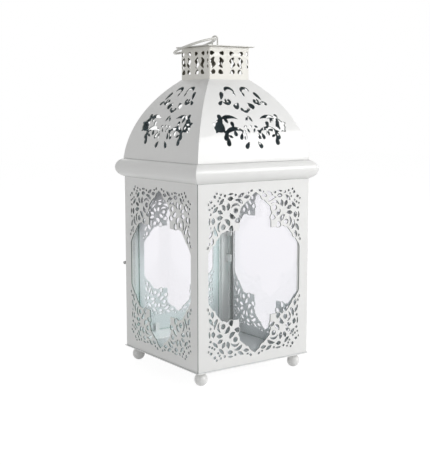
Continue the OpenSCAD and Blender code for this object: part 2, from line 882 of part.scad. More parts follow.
base_plate();
foot_front_left();
foot_front_right();
foot_back_left();
foot_back_right();
foot_screws();
post_front_left();
post_front_right();
post_back_left();
post_back_right();
front_lattice();
left_lattice();
right_lattice();
door_lattice();
front_glass();
left_glass();
right_glass();
door_glass();
door_glass_clips();
upper_hinge_fixed_leaf();
lower_hinge_fixed_leaf();
upper_hinge_door_leaf();
lower_hinge_door_leaf();
upper_hinge_pin();
lower_hinge_pin();
latch_button();
latch_rivet();
cornice();
dome_front();
dome_left();
dome_right();
dome_back();
collar();
top_plate();
handle_staple();
ring_handle();
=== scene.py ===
"""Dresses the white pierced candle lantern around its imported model.

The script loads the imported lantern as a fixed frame, makes the pieces that show from the
photographed sheet metal, glass and wire, gives every piece a procedural finish, and sets up a
pale floor, soft light and a camera at the photograph's viewing angle.
"""

import json
import logging
import math
from dataclasses import dataclass
from enum import Enum
from typing import Callable, Iterable, Sequence

import bmesh
import bpy
from mathutils import Matrix, Vector
from mathutils.geometry import delaunay_2d_cdt


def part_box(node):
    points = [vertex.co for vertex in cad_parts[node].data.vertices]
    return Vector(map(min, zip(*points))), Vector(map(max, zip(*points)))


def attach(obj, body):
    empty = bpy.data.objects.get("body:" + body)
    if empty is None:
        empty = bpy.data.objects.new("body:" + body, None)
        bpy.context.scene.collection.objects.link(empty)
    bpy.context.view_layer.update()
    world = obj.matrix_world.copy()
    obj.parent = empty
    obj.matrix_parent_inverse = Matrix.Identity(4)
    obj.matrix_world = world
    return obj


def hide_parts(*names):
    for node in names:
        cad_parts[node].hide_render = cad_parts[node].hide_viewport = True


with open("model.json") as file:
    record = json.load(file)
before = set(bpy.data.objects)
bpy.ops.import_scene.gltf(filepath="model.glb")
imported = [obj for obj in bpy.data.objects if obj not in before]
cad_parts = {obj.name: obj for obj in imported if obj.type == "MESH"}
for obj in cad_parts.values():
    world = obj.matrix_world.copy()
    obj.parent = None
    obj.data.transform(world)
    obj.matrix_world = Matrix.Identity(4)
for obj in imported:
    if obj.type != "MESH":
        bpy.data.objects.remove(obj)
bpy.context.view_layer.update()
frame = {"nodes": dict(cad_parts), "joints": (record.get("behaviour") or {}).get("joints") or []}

MM = 0.001
NEAR = 1e-7  # metres, to find vertices by their place
PIECE_NEAR = 1e-6  # metres, to merge a piece's vertices
SHEET_NEAR = 1e-4  # millimetres, to merge a flat sheet's vertices
OUTLINE_NEAR = 1e-5  # millimetres, to join outlines
TILES_INSIDE = 1  # joined outlines keep the tiles inside them
WHITE = (1, 1, 1, 1)
log = logging.getLogger("lantern")

Colour = tuple[float, float, float]
Point = tuple[float, float]
Outline = list[Point]
Mark = tuple[float, ...]
Marks = tuple[Mark, ...]


class Body(str, Enum):
    """The lantern's bodies that carry new pieces."""

    BODY = "body"
    DOOR = "door"
    RING = "ring"


class Slot(str, Enum):
    """The record's material slots."""

    WHITE = "white_paint"
    CREAM = "cream_paint"
    GLASS = "green_glass"


class Side(Enum):
    """The lantern's sides, each with its turn from the front in degrees."""

    FRONT = 0
    LEFT = -90
    RIGHT = 90
    BACK = 180

    def turn(self) -> Matrix:
        """The turn from the front to this side."""
        return Matrix.Rotation(math.radians(self.value), 4, "Z")


# Shader building


class Wire:
    """An output socket that takes part in sums, so that shader maths reads as plain maths."""

    def __init__(self, recipe: "Recipe", socket: bpy.types.NodeSocket) -> None:
        """Wraps an output socket of a recipe's tree."""
        self.recipe = recipe
        self.socket = socket

    def _math(self, operation: str, other: "Wire | float") -> "Wire":
        """Adds a Math node and returns its result."""
        return self.recipe.node("ShaderNodeMath", {"operation": operation}, {0: self, 1: other})

    def __add__(self, other: "Wire | float") -> "Wire":
        """Adds."""
        return self._math("ADD", other)

    def __mul__(self, other: "Wire | float") -> "Wire":
        """Multiplies."""
        return self._math("MULTIPLY", other)

    __radd__ = __add__
    __rmul__ = __mul__

    def __or__(self, other: "Wire") -> "Wire":
        """Takes the larger of two values, which for two flags is one or the other."""
        return self._math("MAXIMUM", other)

    __ror__ = __or__


class Recipe:
    """The node tree of a material or of the world while it is being built."""

    def __init__(self, owner: bpy.types.Material | bpy.types.World) -> None:
        """Empties a new material's or world's tree.

        Args:
            owner: The material or world.
        """
        owner.use_nodes = True
        self.owner = owner
        self.tree = owner.node_tree
        self.tree.nodes.clear()

    def node(self, kind: str, settings: dict | None = None, inputs: dict | None = None,
             output: int | str = 0) -> Wire:
        """Adds a node.

        Args:
            kind: The node's type.
            settings: Its settings, and under "stops" a grey ramp's stops, as places and greys.
            inputs: Values or wires for its input sockets, by name or number.
            output: The output socket that is wanted.

        Returns:
            The wanted output.
        """
        made = self.tree.nodes.new(kind)
        for key, value in (settings or {}).items():
            if key == "stops":
                for element, (place, grey) in zip(made.color_ramp.elements, value):
                    element.position = place
                    element.color = (grey, grey, grey, 1)
            else:
                setattr(made, key, value)
        for key, value in (inputs or {}).items():
            if isinstance(value, Wire):
                self.tree.links.new(value.socket, made.inputs[key])
            else:
                made.inputs[key].default_value = value
        return Wire(self, made.outputs[output])

    def place(self) -> Wire:
        """Object coordinates."""
        return self.node("ShaderNodeTexCoord", output="Object")

    def noise(self, scale: float, detail: float = 1.0) -> Wire:
        """Noise from 0 to 1, with so many lumps in a metre and so many finer layers."""
        return self.node("ShaderNodeTexNoise", {}, {"Vector": self.place(), "Scale": scale, "Detail": detail})

    def mix_colours(self, share: Wire, first: Colour, second: Colour) -> Wire:
        """Mixes two colours, by the share of the second one."""
        return self.node("ShaderNodeMix", {"data_type": "RGBA"},
                         {0: share, 6: (*first, 1), 7: (*second, 1)}, output=2)

    def bump(self, height: Wire, depth: float, strength: float) -> Wire:
        """Turns a height into a bumped normal, with the depth in metres."""
        return self.node("ShaderNodeBump", {}, {"Strength": strength, "Distance": depth, "Height": height})

    def seen(self) -> Wire:
        """Tells what is seen from what is lit.

        Returns:
            One for rays from the camera, also past glass or in a reflection, and nought for light.
        """
        flags = ("Is Camera Ray", "Is Glossy Ray", "Is Transmission Ray")
        camera, glossy, through = (self.node("ShaderNodeLightPath", output=flag) for flag in flags)
        return camera | glossy | through

    def finish(self, surface: Wire) -> bpy.types.Material | bpy.types.World:
        """Links the surface to the tree's output.

        Args:
            surface: The shader to be shown.

        Returns:
            The finished material or world.
        """
        kind = "World" if isinstance(self.owner, bpy.types.World) else "Material"
        out = self.tree.nodes.new(f"ShaderNodeOutput{kind}")
        self.tree.links.new(surface.socket, out.inputs["Surface"])
        return self.owner


@dataclass(frozen=True)
class Enamel:
    """Semi-gloss stove enamel on sheet steel, with a faint orange peel and shallow dents."""

    name: str
    colour: Colour
    shade: Colour
    coat: float = 0.5
    coat_roughness: float = 0.05
    gloss: float = 0.4
    roughness: float = 0.36
    roughness_spread: float = 0.10
    cloud_scale: float = 38.0
    cloud_detail: float = 3.0
    cloud_share: float = 0.55
    speck_scale: float = 260.0
    speck_size: float = 0.09
    speck_share: float = 0.25
    peel_scale: float = 850.0
    ripple_scale: float = 228.0
    ripple_depth: float = 2.0
    dent_scale: float = 21.0
    dent_depth: float = 40.0
    bump_depth: float = 0.00003
    bump_strength: float = 0.5

    def build(self) -> bpy.types.Material:
        """Makes the material.

        Returns:
            The material.
        """
        recipe = Recipe(bpy.data.materials.new(self.name))
        clouds = recipe.noise(self.cloud_scale, self.cloud_detail)
        specks = recipe.node("ShaderNodeTexVoronoi", {},
                             {"Vector": recipe.place(), "Scale": self.speck_scale})
        dots = recipe.node("ShaderNodeValToRGB", {"stops": ((0.0, 1.0), (self.speck_size, 0.0))},
                           {0: specks})
        soiling = clouds * self.cloud_share + dots * self.speck_share
        height = (recipe.noise(self.peel_scale) + recipe.noise(self.ripple_scale) * self.ripple_depth
                  + recipe.noise(self.dent_scale) * self.dent_depth)
        return recipe.finish(recipe.node("ShaderNodeBsdfPrincipled", {}, {
            "Base Color": recipe.mix_colours(soiling, self.colour, self.shade),
            "Roughness": clouds * self.roughness_spread + self.roughness,
            "Normal": recipe.bump(height, self.bump_depth, self.bump_strength),
            "Specular IOR Level": self.gloss,
            "Coat Weight": self.coat,
            "Coat Roughness": self.coat_roughness}))


@dataclass(frozen=True)
class ZincSteel:
    """Zinc-plated steel of screws, pins and rivets."""

    name: str = "zinc_steel"
    colour: Colour = (0.62, 0.63, 0.64)
    shade: Colour = (0.45, 0.45, 0.44)
    roughness: float = 0.3
    roughness_spread: float = 0.2
    cloud_scale: float = 400.0
    cloud_detail: float = 3.0
    grain_scale: float = 3000.0
    bump_depth: float = 0.00002
    bump_strength: float = 0.4

    def build(self) -> bpy.types.Material:
        """Makes the material.

        Returns:
            The material.
        """
        recipe = Recipe(bpy.data.materials.new(self.name))
        clouds = recipe.noise(self.cloud_scale, self.cloud_detail)
        return recipe.finish(recipe.node("ShaderNodeBsdfPrincipled", {}, {
            "Base Color": recipe.mix_colours(clouds, self.colour, self.shade), "Metallic": 1.0,
            "Roughness": clouds * self.roughness_spread + self.roughness,
            "Normal": recipe.bump(recipe.noise(self.grain_scale), self.bump_depth, self.bump_strength)}))


@dataclass(frozen=True)
class FloatGlass:
    """Greenish float glass. Lamps reach what is behind it."""

    name: str
    tint: Colour
    lit_tint: Colour
    roughness: float = 0.02
    smear: float = 0.03
    smear_scale: float = 26.0
    smear_detail: float = 3.0
    bending: float = 1.5

    def build(self) -> bpy.types.Material:
        """Makes the material.

        Returns:
            The material.
        """
        recipe = Recipe(bpy.data.materials.new(self.name))
        smears = recipe.noise(self.smear_scale, self.smear_detail)
        glass = recipe.node("ShaderNodeBsdfPrincipled", {}, {
            "Base Color": (*self.tint, 1), "Transmission Weight": 1.0, "IOR": self.bending,
            "Roughness": smears * self.smear + self.roughness})
        clear = recipe.node("ShaderNodeBsdfTransparent", {}, {"Color": (*self.lit_tint, 1)})
        lamp_ray = recipe.node("ShaderNodeLightPath", output="Is Shadow Ray")
        return recipe.finish(recipe.node("ShaderNodeMixShader", {}, {0: lamp_ray, 1: glass, 2: clear}))


class Finishes:
    """Every finish of the lantern, each made once."""

    def __init__(self) -> None:
        """Makes the materials."""
        self.white = Enamel("white_enamel", (0.86, 0.86, 0.85), (0.80, 0.80, 0.785)).build()
        self.cream = Enamel("cream_enamel", (0.86, 0.845, 0.79), (0.80, 0.78, 0.72)).build()
        self.steel = ZincSteel().build()
        # Painted shade: the ring and staple wire and the top plate's edges are a greyer enamel than the
        # white, standing for the shade the thin wire is seen in.
        self.wire = Enamel("wire_painted_shade", (0.70, 0.695, 0.66), (0.58, 0.575, 0.53)).build()
        # Painted light: the walls' inner faces are a brighter white than the outer enamel, standing for more
        # light inside the lantern.
        self.inside = Enamel("painted_light_white_inside", (0.96, 0.97, 0.965), (0.92, 0.93, 0.925)).build()
        # Painted shade: the base plate's top face is blue-grey, standing for the shade on the lantern's
        # floor.
        self.floor = Enamel("floor_painted_shade", (0.63, 0.665, 0.67), (0.55, 0.585, 0.59)).build()
        # Painted shade: the cut edges of the pierced walls and roof panels are dark grey-green, standing for
        # the shade in the cuts.
        self.painted_shade_cut_edge = Enamel("painted_shade_on_sheet_edges", (0.19, 0.22, 0.205), (0.13, 0.155, 0.14)).build()
        # Painted shade: the roof panels' inner faces are dark blue-grey, standing for the shade under the
        # roof.
        self.painted_shade_lining = Enamel("painted_shade_inside_roof", (0.15, 0.195, 0.215), (0.10, 0.135, 0.15), 0.1).build()
        # Painted shade: the collar's inner faces and cut edges and the top plate's underside are dark brown,
        # standing for the shade inside the collar.
        self.collar_painted_shade = Enamel("painted_shade_inside_collar", (0.20, 0.185, 0.135), (0.14, 0.125, 0.09),
                                    0.1).build()
        self.pane = FloatGlass("float_glass", (0.927, 0.922, 0.943), (0.905, 0.98, 0.96)).build()
        self.pane_edge = FloatGlass("glass_edge", (0.05, 0.24, 0.18), (0.3, 0.55, 0.48), 0.25).build()


# Outlines, in millimetres


class Flip(Enum):
    """The axis whose sign a mirror image changes, as what x and y are multiplied by."""

    X = (-1, 1)
    Y = (1, -1)


def turned(outline: Outline, degrees: float) -> Outline:
    """Turns an outline about the origin, anticlockwise."""
    c, s = math.cos(math.radians(degrees)), math.sin(math.radians(degrees))
    return [(c * x - s * y, s * x + c * y) for x, y in outline]


def moved(outline: Outline, x: float, y: float) -> Outline:
    """Moves an outline by x and y."""
    return [(px + x, py + y) for px, py in outline]


def scaled(outline: Outline, share: float) -> Outline:
    """Makes an outline larger or smaller about the origin."""
    return [(x * share, y * share) for x, y in outline]


def flipped(outline: Outline, flip: Flip) -> Outline:
    """Makes an outline's mirror image."""
    sx, sy = flip.value
    return [(sx * x, sy * y) for x, y in outline]


def disc(radius: float, steps: int = 20) -> Outline:
    """A circle about the origin."""
    return [(radius * math.cos(math.tau * i / steps), radius * math.sin(math.tau * i / steps))
            for i in range(steps)]


def leaf(length: float, width: float, steps: int = 8) -> Outline:
    """A pointed leaf along X with two equal bows for sides, each of so many straight stretches."""
    side = [(length * (i / steps - 0.5), 2 * width * (i / steps) * (1 - i / steps)) for i in range(steps + 1)]
    return side + [(x, -y) for x, y in reversed(side[1:-1])]


def egg(length: float, width: float, steps: int = 18) -> Outline:
    """An egg of so many points along X, blunt toward -X and narrow toward +X."""
    angles = [math.tau * i / steps for i in range(steps)]
    return [(length / 2 * math.cos(a), width / 2 * math.sin(a) * (1 - math.cos(a) / 2)) for a in angles]


def curl(radius: float, width: float, start: float, end: float, ripe: float, steps: int = 14) -> Outline:
    """A band along an arc about the origin, pointed at both ends.

    Args:
        radius: The radius of its middle line.
        width: Its greatest width.
        start: The angle where it starts, in degrees.
        end: The angle where it ends.
        ripe: Below 1 it is widest early, above 1 late.
        steps: How many straight stretches each side has.

    Returns:
        The outline.
    """
    outer: Outline = []
    inner: Outline = []
    for i in range(steps + 1):
        t = i / steps
        a = math.radians(start + (end - start) * t)
        half = width / 2 * math.sin(math.pi * t ** ripe)
        outer.append(((radius + half) * math.cos(a), (radius + half) * math.sin(a)))
        inner.append(((radius - half) * math.cos(a), (radius - half) * math.sin(a)))
    return outer + inner[-2:0:-1]


def wave(length: float, width: float, swing: float, steps: int = 16) -> Outline:
    """An upright slot whose middle line waves one and a half times from side to side.

    Args:
        length: Its height.
        width: Its greatest width.
        swing: How far its middle line moves sideways.
        steps: How many straight stretches each side has.

    Returns:
        The outline.
    """
    right: Outline = []
    left: Outline = []
    for i in range(steps + 1):
        t = i / steps
        middle = swing * math.cos(3 * math.pi * t)
        half = width / 2 * math.sqrt(max(math.sin(math.pi * t), 0))
        right.append((middle + half, length * (t - 0.5)))
        left.append((middle - half, length * (t - 0.5)))
    return right + left[-2:0:-1]


def rounded_box(width: float, height: float, radius: float, steps: int = 4) -> Outline:
    """A rectangle about the origin with round corners.

    Args:
        width: Its width.
        height: Its height.
        radius: The radius of its corners.
        steps: How many straight stretches each corner has.

    Returns:
        The outline, anticlockwise.
    """
    points = []
    for quarter, (sx, sy) in enumerate(((1, 1), (-1, 1), (-1, -1), (1, -1))):
        for i in range(steps + 1):
            a = math.pi / 2 * (quarter + i / steps)
            points.append((sx * (width / 2 - radius) + radius * math.cos(a),
                           sy * (height / 2 - radius) + radius * math.sin(a)))
    return points


def drawn(shape: Callable[[float, float], Outline], unit: float, mark: Mark) -> Outline:
    """Draws a leaf or an egg from its place, length and width, as shares of the unit, and its turn."""
    x, y, length, width, turn = mark
    return moved(turned(shape(unit * length, unit * width), turn), unit * x, unit * y)


def drawn_curl(unit: float, mark: Mark) -> Outline:
    """Draws a curl from its place, radius and width, as shares of the unit, its angles and its ripeness."""
    x, y, radius, width, *bend = mark
    return moved(curl(unit * radius, unit * width, *bend), unit * x, unit * y)


def signed_area(outline: Outline) -> float:
    """The area inside an outline, positive where it runs anticlockwise."""
    pairs = zip(outline, outline[1:] + outline[:1])
    return sum(x0 * y1 - x1 * y0 for (x0, y0), (x1, y1) in pairs) / 2


class Part(Enum):
    """What an outline does to the metal of a sheet."""

    SHEET = 0
    WINDOW = 1
    RIM = 2
    CUT = 3


def metal_outlines(parts: Iterable[tuple[Part, Outline]]) -> list[Outline]:
    """Works out the edges of a pierced sheet.

    Metal is where the sheet or a rim is and no cut is, and a window takes away sheet but no rim.

    Args:
        parts: The outlines, each with what it does.

    Returns:
        The closed outlines of the metal, the outer one first.
    """
    points: list[Vector] = []
    faces: list[list[int]] = []
    kinds: list[Part] = []
    for kind, outline in parts:
        faces.append(list(range(len(points), len(points) + len(outline))))
        points += [Vector(p) for p in (outline if signed_area(outline) > 0 else reversed(outline))]
        kinds.append(kind)
    spots, _, tiles, _, _, sources = delaunay_2d_cdt(points, [], faces, TILES_INSIDE, OUTLINE_NEAR)
    mesh = bmesh.new()
    verts = [mesh.verts.new((p.x, p.y, 0)) for p in spots]
    for tile, source in zip(tiles, sources):
        under = {kinds[i] for i in source}
        plate = Part.SHEET in under and Part.WINDOW not in under
        rim = Part.RIM in under and Part.SHEET in under
        if (plate or rim) and Part.CUT not in under:
            mesh.faces.new([verts[i] for i in tile])
    loops = boundary_loops(mesh)
    mesh.free()
    return sorted(loops, key=lambda loop: -abs(signed_area(loop)))


def boundary_loops(mesh: bmesh.types.BMesh) -> list[Outline]:
    """Follows the closed boundary loops of a flat mesh.

    Args:
        mesh: The mesh.

    Returns:
        The loops.
    """
    following: dict[bmesh.types.BMVert, list[bmesh.types.BMVert]] = {}
    for edge in mesh.edges:
        if len(edge.link_faces) == 1:
            loop = edge.link_loops[0]
            following.setdefault(loop.vert, []).append(loop.link_loop_next.vert)
    loops = []
    while following:
        start = next(iter(following))
        loop = []
        here = start
        while here in following:
            nexts = following[here]
            after = nexts.pop()
            if not nexts:
                del following[here]
            loop.append((here.co.x, here.co.y))
            here = after
        if len(loop) > 2:
            loops.append(loop)
    return loops


# Meshes by operators


def deselect() -> None:
    """Leaves edit mode and deselects every object."""
    if bpy.context.object and bpy.context.object.mode != "OBJECT":
        bpy.ops.object.mode_set(mode="OBJECT")
    bpy.ops.object.select_all(action="DESELECT")


def activate(piece: bpy.types.Object) -> None:
    """Makes one piece the only selected and active one.

    Args:
        piece: The piece.
    """
    deselect()
    piece.select_set(True)
    bpy.context.view_layer.objects.active = piece


def tidy_mesh(piece: bpy.types.Object, distance: float = PIECE_NEAR) -> None:
    """Merges doubles and turns every face outward.

    Args:
        piece: The piece.
        distance: How near two points are to be merged.
    """
    activate(piece)
    bpy.ops.object.mode_set(mode="EDIT")
    bpy.ops.mesh.select_all(action="SELECT")
    bpy.ops.mesh.remove_doubles(threshold=distance)
    bpy.ops.mesh.normals_make_consistent(inside=False)
    bpy.ops.object.mode_set(mode="OBJECT")


def place_mesh(piece: bpy.types.Object, matrix: Matrix) -> None:
    """Moves a piece's own mesh by a matrix, so that its object stays at the origin.

    Args:
        piece: The piece.
        matrix: The matrix.
    """
    piece.data.transform(matrix)
    if matrix.determinant() < 0:
        piece.data.flip_normals()
    piece.data.update()


def flat_sheet(name: str, outlines: Sequence[Outline], thickness: float, rounding: float) -> bpy.types.Object:
    """Makes a flat pierced sheet with rounded edges, in the XY plane, from outlines in millimetres.

    Args:
        name: The piece's name.
        outlines: The outer outline, then the holes.
        thickness: The sheet's thickness, in millimetres.
        rounding: The radius of its edges.

    Returns:
        The sheet, centred on its own middle plane, still in millimetres.
    """
    deselect()
    data = bpy.data.curves.new(name, "CURVE")
    data.dimensions = "2D"
    data.fill_mode = "BOTH"
    for number, outline in enumerate(outlines):
        loop = outline if (signed_area(outline) > 0) == (number == 0) else list(reversed(outline))
        spline = data.splines.new("POLY")
        spline.points.add(len(loop) - 1)
        for point, (x, y) in zip(spline.points, loop):
            point.co = (x, y, 0, 1)
        spline.use_cyclic_u = True
    data.extrude = thickness / 2 - rounding
    data.bevel_depth = rounding
    data.bevel_resolution = 1
    data.offset = -rounding
    piece = bpy.data.objects.new(name, data)
    bpy.context.scene.collection.objects.link(piece)
    activate(piece)
    bpy.ops.object.convert(target="MESH")
    piece = bpy.context.object
    tidy_mesh(piece, SHEET_NEAR)
    return piece


def spun(name: str, profile: Outline, steps: int, closed: bool = True) -> bpy.types.Object:
    """Spins a profile, drawn as distance from the axis and height in millimetres, about Z.

    Args:
        name: The piece's name.
        profile: The profile's points.
        steps: How many steps the turn has. With 4 steps the piece is square.
        closed: Whether the profile closes on itself.

    Returns:
        The piece, in metres.
    """
    data = bpy.data.meshes.new(name)
    points = [(r * MM, 0, z * MM) for r, z in profile]
    edges = [(i, i + 1) for i in range(len(points) - 1)]
    if closed:
        edges.append((len(points) - 1, 0))
    data.from_pydata(points, edges, [])
    piece = bpy.data.objects.new(name, data)
    bpy.context.scene.collection.objects.link(piece)
    activate(piece)
    bpy.ops.object.mode_set(mode="EDIT")
    bpy.ops.mesh.select_all(action="SELECT")
    bpy.ops.mesh.spin(steps=steps, angle=math.tau, center=(0, 0, 0), axis=(0, 0, 1))
    bpy.ops.object.mode_set(mode="OBJECT")
    tidy_mesh(piece)
    return piece


def cut_across(piece: bpy.types.Object, places: Iterable[tuple[float, float, float]],
               facing: tuple[float, float, float]) -> None:
    """Cuts new edges across a piece, so that it can bend along them.

    Args:
        piece: The piece.
        places: A point of each cut.
        facing: The direction that the cuts face.
    """
    activate(piece)
    bpy.ops.object.mode_set(mode="EDIT")
    for place in places:
        bpy.ops.mesh.select_all(action="SELECT")
        bpy.ops.mesh.bisect(plane_co=place, plane_no=facing)
    bpy.ops.object.mode_set(mode="OBJECT")


def smooth(piece: bpy.types.Object, degrees: float) -> None:
    """Shades a piece smooth, with sharp edges kept and large faces setting the shading of small ones.

    Args:
        piece: The piece.
        degrees: Edges sharper than this stay sharp.
    """
    activate(piece)
    bpy.ops.object.shade_smooth_by_angle(angle=math.radians(degrees))
    modifier = piece.modifiers.new("even_shading", "WEIGHTED_NORMAL")
    modifier.keep_sharp = True
    modifier.weight = 100
    bpy.ops.object.modifier_apply(modifier=modifier.name)


def bevel_edges(piece: bpy.types.Object, width: float, segments: int = 2, degrees: float = 40.0) -> None:
    """Rounds the sharp edges of a piece with an applied bevel.

    Args:
        piece: The piece.
        width: The bevel's width, in metres.
        segments: How many faces round an edge.
        degrees: Edges sharper than this are rounded.
    """
    activate(piece)
    modifier = piece.modifiers.new("edge_rounding", "BEVEL")
    modifier.width = width
    modifier.segments = segments
    modifier.limit_method = "ANGLE"
    modifier.angle_limit = math.radians(degrees)
    bpy.ops.object.modifier_apply(modifier=modifier.name)


def paint(piece: bpy.types.Object, *materials: bpy.types.Material) -> None:
    """Gives a piece its finishes.

    Args:
        piece: The piece.
        materials: Its finishes, in the order of its material slots.
    """
    piece.data.materials.clear()
    for material in materials:
        piece.data.materials.append(material)


def paint_sheet(piece: bpy.types.Object, face: bpy.types.Material, back: bpy.types.Material,
                edge: bpy.types.Material, flat: float = 0.4) -> None:
    """Paints a sheet that lies in the XY plane.

    Args:
        piece: The sheet.
        face: The finish of its face toward +Z.
        back: The finish of its back.
        edge: The finish of its cut edges.
        flat: How much the normal of a face or back rises or falls at least.
    """
    paint(piece, face, back, edge)
    for polygon in piece.data.polygons:
        rise = polygon.normal.z
        polygon.material_index = 0 if rise > flat else 1 if rise < -flat else 2


def stand_for(piece: bpy.types.Object, node: str, body: Body = Body.BODY) -> None:
    """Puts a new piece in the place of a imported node.

    Args:
        piece: The piece.
        node: The node that it stands for.
        body: The body that it moves with.
    """
    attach(piece, body.value)
    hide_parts(node)


def box_mm(node: str) -> tuple[Vector, Vector]:
    """A node's lowest and highest corner, in millimetres."""
    low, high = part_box(node)
    return low / MM, high / MM


# Sub-assemblies


@dataclass
class SubAssembly:
    """One of the lantern's sub-assemblies, with the finishes that it takes its own from."""

    finishes: Finishes

    def build(self) -> list[bpy.types.Object]:
        """Makes the pieces, dresses them and returns them."""
        raise NotImplementedError


@dataclass
class CornerLace:
    """The ornament in each corner of a pierced wall.

    Its own frame has its origin near the wall's corner, X along the diagonal toward the window
    and Y across it. Places and sizes are shares of the ornament's length. Leaves and the drop
    are marks for drawn(), a dot and the eye have a place and a radius, and the bands are curls
    about the eye.
    """

    length: float
    diagonal: float = 45.0
    dot_steps: int = 14
    rim_steps: int = 24
    eye_rim_steps: int = 28
    scallop_turn: float = 15.0
    leaves: Marks = (
        (0.477, 0.125, 0.132, 0.074, -53), (0.416, 0.052, 0.12, 0.066, -19),
        (0.414, 0.251, 0.115, 0.074, 50), (0.644, 0.505, 0.125, 0.062, 53), (0.538, 0.442, 0.15, 0.056, 73),
        (0.315, 0.09, 0.146, 0.056, 90), (0.154, 0.056, 0.062, 0.05, -35),
        (0.293, 0.209, 0.052, 0.044, -35), (0.363, 0.309, 0.118, 0.034, 48),
        (0.619, 0.573, 0.052, 0.036, 25), (0.647, 0.641, 0.062, 0.04, 75),
    )
    dots: Marks = (
        (0.252, 0.054, 0.02), (0.239, 0.11, 0.02), (0.22, 0.166, 0.019), (0.447, 0.368, 0.021),
        (0.144, 0.121, 0.019),
    )
    drop: Mark = (0.781, 0.09, 0.108, 0.086, -119)
    eye: Mark = (0.638, 0.184, 0.046)
    bands: Marks = ((0.124, 0.076, -122, -46, 1), (0.106, 0.04, 83, 200, 1), (0.18, 0.062, 82, 145, 0.8))

    def _pairs(self, outlines: Iterable[Outline]) -> list[Outline]:
        """The outlines and their mirror images across the diagonal, turned to the wall's edges."""
        return [turned(half, self.diagonal) for outline in outlines
                for half in (outline, flipped(outline, Flip.Y))]

    def cuts(self) -> list[Outline]:
        """Draws the piercings.

        Returns:
            Their outlines, with X and Y along the wall's edges.
        """
        unit = self.length
        eye_u, eye_v, eye = self.eye
        shapes = [drawn(leaf, unit, mark) for mark in self.leaves]
        shapes += [moved(disc(unit * radius, self.dot_steps), unit * u, unit * v)
                   for u, v, radius in self.dots]
        shapes += [drawn(egg, unit, self.drop), moved(disc(unit * eye), unit * eye_u, unit * eye_v)]
        shapes += [drawn_curl(unit, (eye_u, eye_v, *band)) for band in self.bands]
        return self._pairs(shapes)

    def rims(self, width: float) -> list[Outline]:
        """Draws discs of metal round the cuts nearest the window, which give its edge scallops.

        Args:
            width: How far the metal goes round a cut.

        Returns:
            The discs' outlines.
        """
        unit = self.length
        u, v, eye = self.eye
        reach, thick, start, _, _ = self.bands[2]
        angle = math.radians(start + self.scallop_turn)
        discs = [(u, v, unit * eye + 2 * width, self.eye_rim_steps),
                 (u + reach * math.cos(angle), v + reach * math.sin(angle),
                  unit * thick / 2 + width, self.rim_steps)]
        for (u, v, _, thick, _), rims in ((self.drop, 1), (self.leaves[3], 2)):
            discs.append((u, v, unit * thick / 2 + rims * width, self.rim_steps))
        return self._pairs(moved(disc(radius, steps), u * unit, v * unit) for u, v, radius, steps in discs)


@dataclass
class LaceWall(SubAssembly):
    """A pierced wall, or the door's pierced sheet.

    The lace is that of a wall as large as the pattern node, drawn at the given share of its size.
    """

    node: str
    side: Side
    body: Body = Body.BODY
    pattern: str = ""
    share: float = 1.0
    border: float = 10.0
    rise: float = 9.0
    lace_side: float = 9.5
    lace_foot: float = 7.5
    lace_height_share: float = 0.7
    rim: float = 1.2
    corner: float = 0.3
    corner_steps: int = 2
    rounding: float = 0.16
    crease: float = 50.0
    window: tuple[Point, ...] = (
        (0, 1), (0.074, 0.966), (0.15, 0.923), (0.21, 0.882), (0.272, 0.845), (0.322, 0.814), (0.358, 0.78),
        (0.362, 0.743), (0.342, 0.69), (0.346, 0.55), (0.54, 0.546), (0.618, 0.562), (0.67, 0.559),
        (0.718, 0.533), (0.762, 0.498), (0.814, 0.454), (0.872, 0.411), (0.932, 0.357), (0.978, 0.312),
        (1, 0.277),
    )

    def window_outline(self, width: float, height: float) -> Outline:
        """Draws the window about the wall's middle.

        Args:
            width: The wall's width.
            height: The wall's height.

        Returns:
            The window's outline.
        """
        half = (width / 2 - self.border, height / 2 - self.rise)
        quarter = [(x * half[0], y * half[1]) for x, y in self.window]
        right = quarter + [(x, -y) for x, y in reversed(quarter)]
        return right + [(-x, y) for x, y in reversed(right[1:-1])]

    def openings(self, width: float, height: float) -> list[tuple[Part, Outline]]:
        """Draws the window and the lace of all four corners.

        Args:
            width: The pattern wall's width.
            height: The pattern wall's height.

        Returns:
            The outlines about the wall's middle, each with what it does.
        """
        lace = CornerLace(min(width / 2 - self.lace_side,
                              (height / 2 - self.lace_foot) * self.lace_height_share))
        made = [(Part.WINDOW, scaled(self.window_outline(width, height), self.share))]
        corner = [(Part.RIM, outline) for outline in lace.rims(self.rim)]
        corner += [(Part.CUT, outline) for outline in lace.cuts()]
        for flips in ((), (Flip.X,), (Flip.Y,), (Flip.X, Flip.Y)):
            for kind, outline in corner:
                placed = moved(outline, self.lace_side - width / 2, self.lace_foot - height / 2)
                for flip in flips:
                    placed = flipped(placed, flip)
                made.append((kind, scaled(placed, self.share)))
        return made

    def build(self) -> list[bpy.types.Object]:
        """Makes the wall.

        Returns:
            The piece, in a list.
        """
        low, high = box_mm(self.node)
        size = high - low
        thin = 0 if size.x < size.y else 1
        sheet = size[thin]
        like_low, like_high = box_mm(self.pattern or self.node)
        width = max(like_high.x - like_low.x, like_high.y - like_low.y)
        parts = [(Part.SHEET, rounded_box(size[1 - thin], size.z, self.corner, self.corner_steps)),
                 *self.openings(width, like_high.z - like_low.z)]
        piece = flat_sheet(f"{self.node}_sheet", metal_outlines(parts), sheet, self.rounding)
        # The wall's back takes the painted light of the lantern's inside, and its cut edges the painted shade
        # of the cuts.
        paint_sheet(piece, self.finishes.white, self.finishes.inside, self.finishes.painted_shade_cut_edge)
        out = max(abs(low[thin]), abs(high[thin]))
        stand = (self.side.turn() @ Matrix.Translation((0, -(out - sheet / 2), (low.z + high.z) / 2))
                 @ Matrix.Rotation(math.pi / 2, 4, "X"))
        place_mesh(piece, Matrix.Scale(MM, 4) @ stand)
        smooth(piece, self.crease)
        stand_for(piece, self.node, self.body)
        return [piece]


